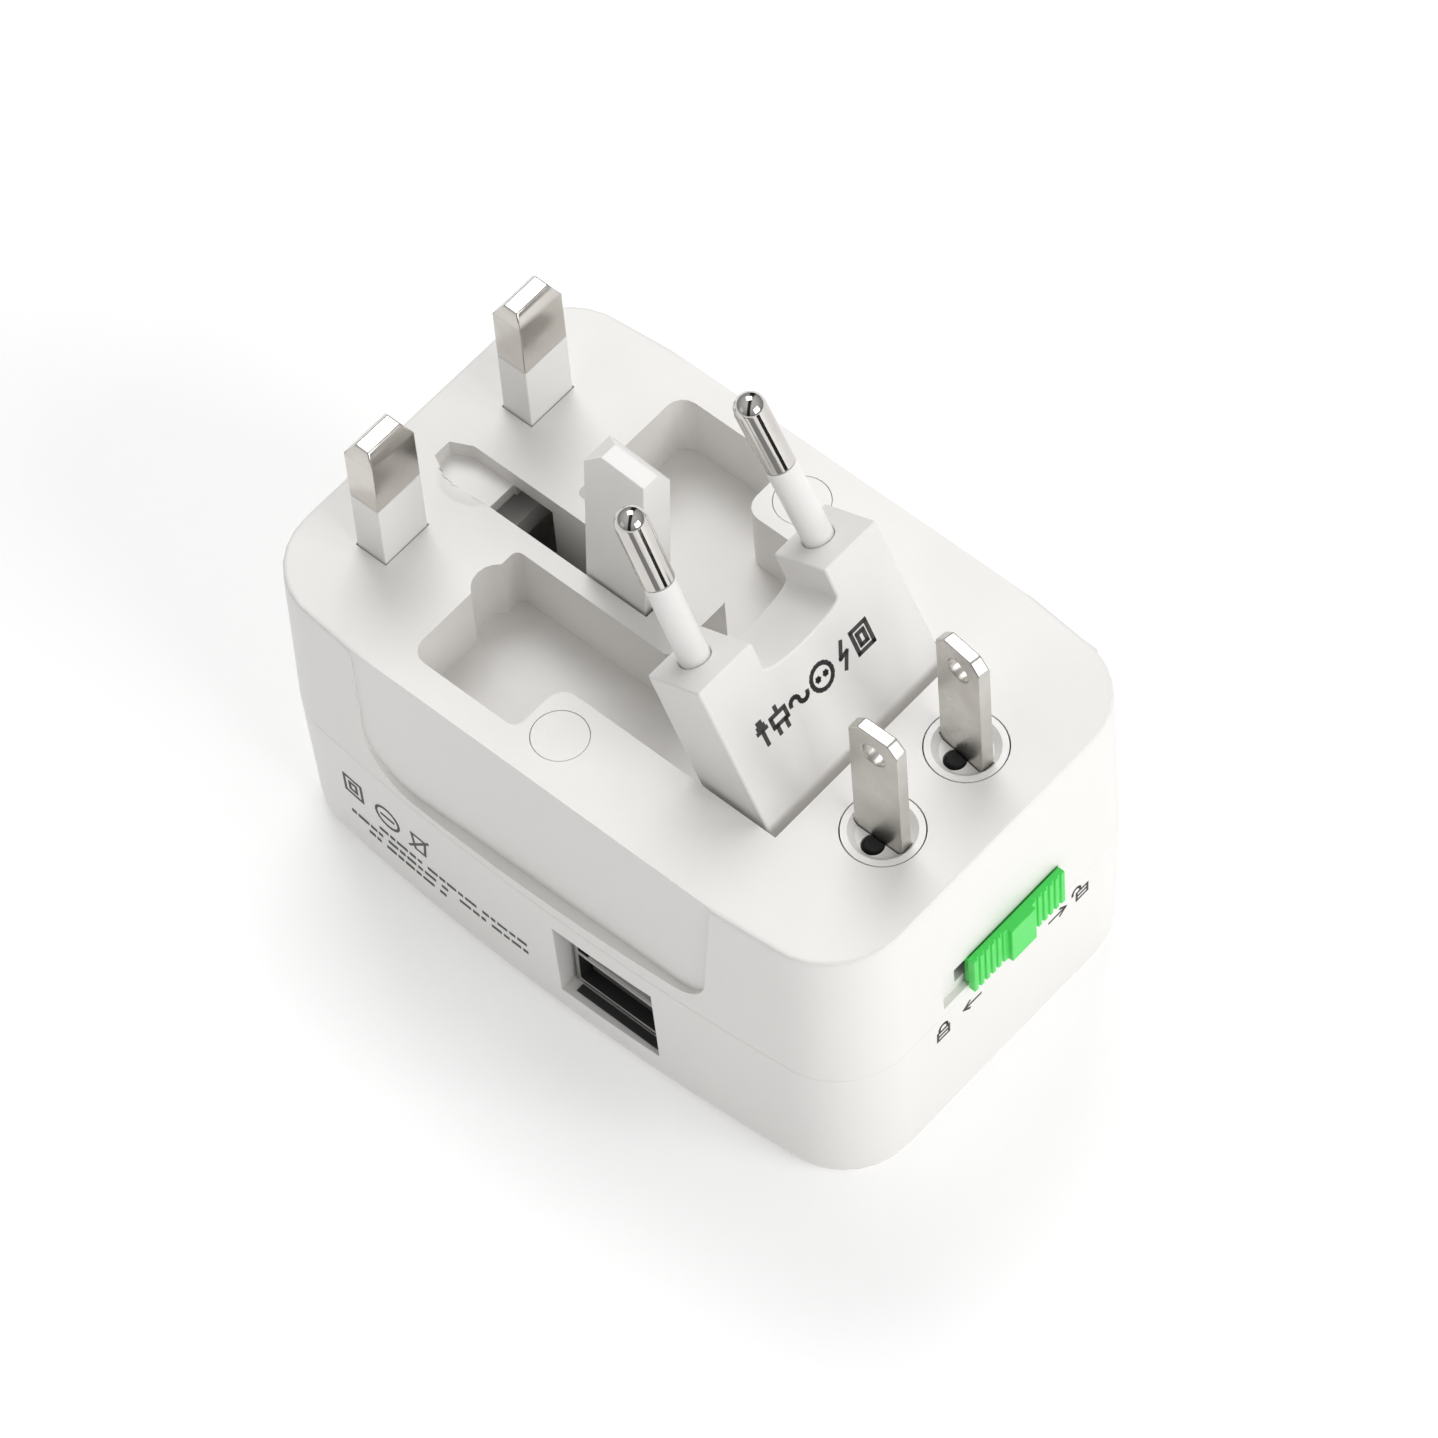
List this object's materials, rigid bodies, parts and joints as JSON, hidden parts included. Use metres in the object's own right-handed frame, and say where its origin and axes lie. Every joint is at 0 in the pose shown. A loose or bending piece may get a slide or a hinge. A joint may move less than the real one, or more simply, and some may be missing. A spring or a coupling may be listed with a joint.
{
  "type": "universal travel adapter",
  "caption": "White pocket travel adapter with retractable UK and US/AU pins, a fold-out round-pin block, a folding earth pin, a green lock slider and USB sockets.",
  "frame": {"origin": "middle of the socket face, which the adapter rests on", "axes": "+Z out of the plug face; +X towards the end with the green lock slider; -Y towards the USB sockets"},
  "size_m": [0.0818, 0.0519, 0.0734],
  "materials": {
    "casing_white": "fine satin, warm white polycarbonate",
    "face_white": "satin",
    "green": "bright green, semi-gloss",
    "clear_red": "red, semi-gloss",
    "dark_grey": "shrink sleeve",
    "circuit_board": "green solder mask",
    "tape_yellow": "polyester tape",
    "ceramic": "glazed ceramic",
    "nickel": "bright nickel plate",
    "brass": "stamped sheet",
    "steel": "zinc plated"
  },
  "bodies": {
    "casing": {"plug_shell": "casing_white", "socket_shell": "casing_white", "socket_face": "face_white", "screw_cap_near": "casing_white", "screw_cap_far": "casing_white", "case_screw_near": "steel", "case_screw_far": "steel", "shutter_spring": "steel", "line_contact": "brass", "neutral_contact": "brass", "earth_contact": "brass", "eu_axle": "steel", "earth_axle": "steel", "lock_spring": "steel", "usb_board": "circuit_board", "usb_connector": "nickel", "usb_tongue_1": "dark_grey", "usb_tongue_2": "dark_grey", "transformer": "tape_yellow", "input_capacitor": "dark_grey", "output_capacitor": "dark_grey", "power_light": "clear_red", "fuse": "ceramic", "fuse_clip_inner": "brass", "fuse_clip_outer": "brass"},
    "uk_pins": {"uk_carriage": "casing_white", "uk_line_pin": "nickel", "uk_neutral_pin": "nickel", "uk_line_sleeve": "casing_white", "uk_neutral_sleeve": "casing_white", "uk_knob": "casing_white"},
    "us_slide": {"us_carriage": "casing_white", "us_knob": "casing_white"},
    "us_front": {"us_front_rotor": "casing_white", "us_front_blade": "nickel"},
    "us_rear": {"us_rear_rotor": "casing_white", "us_rear_blade": "nickel"},
    "eu_plug": {"eu_block": "casing_white", "eu_front_pin": "nickel", "eu_rear_pin": "nickel", "eu_front_sleeve": "casing_white", "eu_rear_sleeve": "casing_white"},
    "earth": {"earth_pin": "casing_white"},
    "lock": {"lock_slider": "green", "lock_bar": "casing_white"},
    "live_shutter": {"shutter": "clear_red"}
  },
  "joints": [
    {"name": "uk_retract", "type": "slide", "parent": "casing", "child": "uk_pins", "axis": [0, 0, -1], "range_m": [0, 0.0177]},
    {"name": "us_retract", "type": "slide", "parent": "casing", "child": "us_slide", "axis": [0, 0, -1], "range_m": [0, 0.0177]},
    {"name": "us_front_turn", "type": "hinge", "parent": "us_slide", "child": "us_front", "pos_m": [0.0305, -0.0064, 0.042], "axis": [0, 0, 1], "range_deg": [0, 30]},
    {"name": "us_rear_turn", "type": "hinge", "parent": "us_slide", "child": "us_rear", "pos_m": [0.0305, 0.0064, 0.042], "axis": [0, 0, -1], "range_deg": [-7, 23]},
    {"name": "eu_fold", "type": "hinge", "parent": "casing", "child": "eu_plug", "pos_m": [0.01845, 0, 0.0378], "axis": [0, -1, 0], "range_deg": [-25.5, 64.5]},
    {"name": "earth_fold", "type": "hinge", "parent": "casing", "child": "earth", "pos_m": [-0.0091, 0, 0.04], "axis": [0, -1, 0], "range_deg": [0, 81]},
    {"name": "lock_slide", "type": "slide", "parent": "casing", "child": "lock", "axis": [0, -1, 0], "range_m": [0, 0.0036]},
    {"name": "shutter_slide", "type": "slide", "parent": "casing", "child": "live_shutter", "axis": [1, 0, 0], "range_m": [0, 0.0066], "stiffness_N_per_m": 60, "deforming": ["shutter_spring"]}
  ]
}
